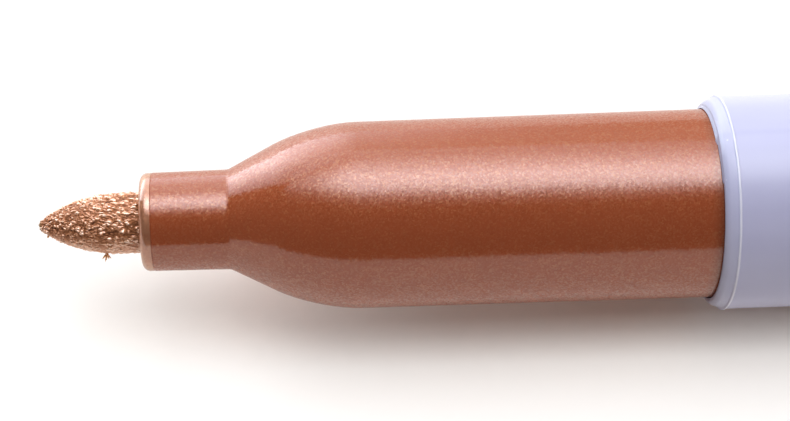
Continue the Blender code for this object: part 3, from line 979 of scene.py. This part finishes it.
bmesh.ops.contextual_create(clip_shape, geom=clip_shape.edges[:])
bmesh.ops.translate(clip_shape, verts=clip_shape.verts, vec=(0, -clip_width / 2, 0))
arm = bmesh.ops.extrude_face_region(clip_shape, geom=clip_shape.faces[:], use_keep_orig=True)
far_side = [item for item in arm["geom"] if isinstance(item, bmesh.types.BMVert)]
bmesh.ops.translate(clip_shape, verts=far_side, vec=(0, clip_width, 0))
bmesh.ops.recalc_face_normals(clip_shape, faces=clip_shape.faces)
flanks = [face for face in clip_shape.faces if abs(face.normal.y) > SIDEWAYS]
rims = [edge for face in flanks for edge in face.edges]
bmesh.ops.bevel(
    clip_shape,
    geom=rims,
    offset=clip_edge_round,
    offset_type="OFFSET",
    affect="EDGES",
    segments=CLIP_EDGE_STEPS,
    profile=0.5,
    material=-1,
    clamp_overlap=False,
)
clip_roll = Matrix.Rotation(-clip_turn, 3, "X")
bmesh.ops.rotate(clip_shape, verts=clip_shape.verts, cent=at(0, 0), matrix=clip_roll)
clip = add_piece("cap_clip", clip_shape, bronze, "posted_cap")
united(cap, [clip])
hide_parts("cap")

# Floor: a wide pale sheet that the marker lies on, with a faint paper tooth; near the marker its
# colour is tinted warm as painted bounce light.
# It belongs to the stage and not to the marker.
floor_half = 6.0
fade_before_tip = 30 * MM
fade_before_end = 8 * MM
fade_past_end = 4 * MM
shade_start = 1.5 * MM
shade_end = 15 * MM
bounce_end = 10 * MM


def pale_paper():
    """Satin pale paper with a faint tooth, warmed near the marker by painted bounce light and lifted
    towards white away from it.
    """
    material, shader = new_material("pale_floor")
    tooth = clouded(material, place_in(material), scale=900.0, detail=3.0)
    hues = ((0.3, (0.91, 0.875, 0.825)), (0.7, (0.94, 0.905, 0.855)))
    paper = ramp(material, tooth, hues)
    shader.inputs["Roughness"].default_value = 0.35
    path = add_node(material, "ShaderNodeLightPath").outputs
    seen = calculated(material, "MAXIMUM", path["Is Camera Ray"], path["Is Glossy Ray"])
    shown = calculated(material, "MAXIMUM", seen, path["Is Transmission Ray"])
    parts = parts_of(material, place_in(material))
    past_nib = grey_ramp(
        material,
        spread(material, parts["X"], tip_x, tip_x + lip, 0, 1),
        ((0.0, 0.30), (0.22, 0.62), (0.30, 0.75), (0.40, 0.84), (0.63, 0.96), (0.85, 1.0)),
    )
    before_end = spread(
        material, parts["X"], cap_high.x - fade_before_end, cap_high.x + fade_past_end, 1, 0
    )
    after_start = spread(material, parts["X"], tip_x - fade_before_tip, tip_x, 0, 1)
    reached = mixed(material, 1.0, before_end, after_start, "MULTIPLY")
    beside = mixed(material, 1.0, past_nib, reached, "MULTIPLY")
    aside = calculated(material, "SUBTRACT", parts["Y"], axis_y)
    distance = calculated(material, "ABSOLUTE", aside)
    near = grey_ramp(
        material,
        spread(material, distance, shade_start, shade_end, 0, 1),
        (
            (0.0, 1.0),
            (0.11, 0.97),
            (0.185, 0.85),
            (0.26, 0.68),
            (0.333, 0.48),
            (0.45, 0.42),
            (1.0, 0.25),
        ),
    )
    # Painted bounce light: the paper is tinted warm near the marker, as if lit by light off the bronze.
    painted_bounce = ramp(
        material,
        spread(material, distance, shade_start, bounce_end, 0, 1),
        (
            (0.0, (1.0, 0.85, 0.77)),
            (0.2, (1.0, 0.87, 0.80)),
            (0.5, (1.0, 0.94, 0.91)),
            (1.0, (1.0, 0.98, 0.97)),
        ),
    )
    paper = mixed(material, beside, paper, mixed(material, 1.0, paper, painted_bounce, "MULTIPLY"))
    held = mixed(material, 1.0, beside, near, "MULTIPLY")
    lift = calculated(material, "MULTIPLY", shown, spread(material, held, 0, 1, 1, 0))
    join(material, mixed(material, lift, paper, (0.0, 0.0, 0.0)), shader.inputs["Base Color"])
    shader.inputs["Emission Color"].default_value = (1, 0.965, 0.935, 1)
    join(material, lift, shader.inputs["Emission Strength"])
    return material


floor_shape = bmesh.new()
bmesh.ops.create_grid(floor_shape, x_segments=1, y_segments=1, size=floor_half)
floor_mesh = bpy.data.meshes.new("floor")
floor_shape.to_mesh(floor_mesh)
floor_shape.free()
floor_mesh.materials.append(pale_paper())
floor = bpy.data.objects.new("floor", floor_mesh)
bpy.context.scene.collection.objects.link(floor)

# Lights: a large soft box overhead, a little behind the marker, a large soft panel at the back left
# and a weak warm fill at the front right.  The room is dim in front and glows low at the back, so the
# round sides show a dark band between the box and the floor.


def soft_light(name, place, target, width, depth, radiance, colour, swing=0.0):
    """A rectangular soft light of that radiance, turned to a target and swung about that line."""
    light = bpy.data.lights.new(name, "AREA")
    light.shape = "RECTANGLE"
    light.size = width
    light.size_y = depth
    light.energy = radiance * math.pi * width * depth
    light.color = colour
    lamp = bpy.data.objects.new(name, light)
    lamp.location = place
    facing = (Vector(target) - Vector(place)).to_track_quat("-Z", "Y")
    lamp.rotation_euler = (facing @ Quaternion((0, 0, 1), swing)).to_euler()
    lamp.visible_camera = False
    bpy.context.scene.collection.objects.link(lamp)
    return lamp


def fade_light(lamp, across, along):
    """Fades a soft light over its width and its depth by (place, share) stops."""
    light = lamp.data
    light.use_nodes = True
    source = add_node(light, "ShaderNodeNewGeometry")
    parts = parts_of(light, source.outputs["Parametric"])
    over_width = grey_ramp(light, parts["X"], across, "B_SPLINE")
    over_depth = grey_ramp(light, parts["Y"], along, "B_SPLINE")
    both = mixed(light, 1.0, over_width, over_depth, "MULTIPLY")
    join(light, both, light.node_tree.nodes["Emission"].inputs["Strength"])


overhead = soft_light(
    "overhead_box",
    place=(0, 0.45, 1.2),
    target=(0, 0.45, 0),
    width=2.0,
    depth=2.0,
    radiance=6.9,
    colour=(0.91, 0.945, 1.0),
    swing=math.radians(-20),
)
fade_light(
    overhead,
    across=(
        (0.0, 0.16),
        (0.14, 0.28),
        (0.25, 0.42),
        (0.34, 0.74),
        (0.42, 0.92),
        (0.64, 1.0),
        (0.73, 0.9),
        (0.83, 0.0),
    ),
    along=(
        (0.0, 0.0),
        (0.08, 0.04),
        (0.14, 0.14),
        (0.18, 0.25),
        (0.22, 0.54),
        (0.26, 0.76),
        (0.30, 0.84),
        (0.36, 1.0),
        (0.42, 1.0),
        (0.5, 0.78),
        (0.6, 0.54),
        (0.75, 0.31),
        (1.0, 0.13),
    ),
)
panel = soft_light(
    "back_panel",
    place=(-0.70, 1.32, 0.9),
    target=(0, 0, 0.9),
    width=2.2,
    depth=1.8,
    radiance=6.9,
    colour=(0.74, 0.87, 1.0),
)
fade_light(
    panel,
    across=(
        (0.0, 0.0),
        (0.12, 0.08),
        (0.22, 0.4),
        (0.4, 0.65),
        (0.55, 0.95),
        (0.7, 1.0),
        (0.9, 0.95),
        (1.0, 0.6),
    ),
    along=((0.0, 1.0), (0.15, 0.93), (0.32, 0.68), (0.5, 0.42), (0.75, 0.24), (1.0, 0.12)),
)
soft_light(
    "right_fill",
    place=(1.0, -0.75, 0.6),
    target=(0, 0, 0),
    width=1.2,
    depth=0.9,
    radiance=0.75,
    colour=(1.0, 0.86, 0.72),
)

world = bpy.data.worlds.new("studio")
bpy.context.scene.world = world
world.use_nodes = True
sky = world.node_tree.nodes["Background"]
looking = add_node(world, "ShaderNodeTexCoord").outputs["Generated"]
sky_glow = ramp(
    world,
    spread(world, parts_of(world, looking)["Y"], -1, 1, 0, 1),
    (
        (0.72, (0.085, 0.081, 0.076)),
        (0.85, (0.52, 0.48, 0.43)),
        (0.89, (1.10, 1.02, 0.93)),
        (0.95, (1.02, 0.93, 0.82)),
        (1.0, (0.5, 0.44, 0.38)),
    ),
)
join(world, sky_glow, sky.inputs["Color"])
sky.inputs["Strength"].default_value = 1.0

# Camera: above the marker and in front of it, looking down at the nib, the section and the lip.
# It is placed by where the nib's tip lies from the lens: to the right, down and ahead.
FRAME_WIDTH = 790
FOCAL_PIXELS = 2000
camera_elevation = math.radians(57)
camera_azimuth = math.radians(4.94)
camera_roll = math.radians(2.18)
tip_from_lens = Vector((-18.541, 0.795, 103.608)) * MM

ahead = Vector(
    (
        math.sin(camera_azimuth) * math.cos(camera_elevation),
        math.cos(camera_azimuth) * math.cos(camera_elevation),
        -math.sin(camera_elevation),
    )
)
level = Vector((math.cos(camera_azimuth), -math.sin(camera_azimuth), 0))
upward = level.cross(ahead)
right = level * math.cos(camera_roll) + upward * math.sin(camera_roll)
up = right.cross(ahead)
lens_place = at(0, 0) - right * tip_from_lens.x + up * tip_from_lens.y - ahead * tip_from_lens.z
camera_data = bpy.data.cameras.new("camera")
camera_data.lens = camera_data.sensor_width * FOCAL_PIXELS / FRAME_WIDTH
camera_data.clip_start = 1 * MM
camera = bpy.data.objects.new("camera", camera_data)
camera.matrix_world = Matrix.Translation(lens_place) @ Matrix((right, up, -ahead)).transposed().to_4x4()
bpy.context.scene.collection.objects.link(camera)
bpy.context.scene.camera = camera

bpy.context.scene.view_settings.view_transform = "Standard"
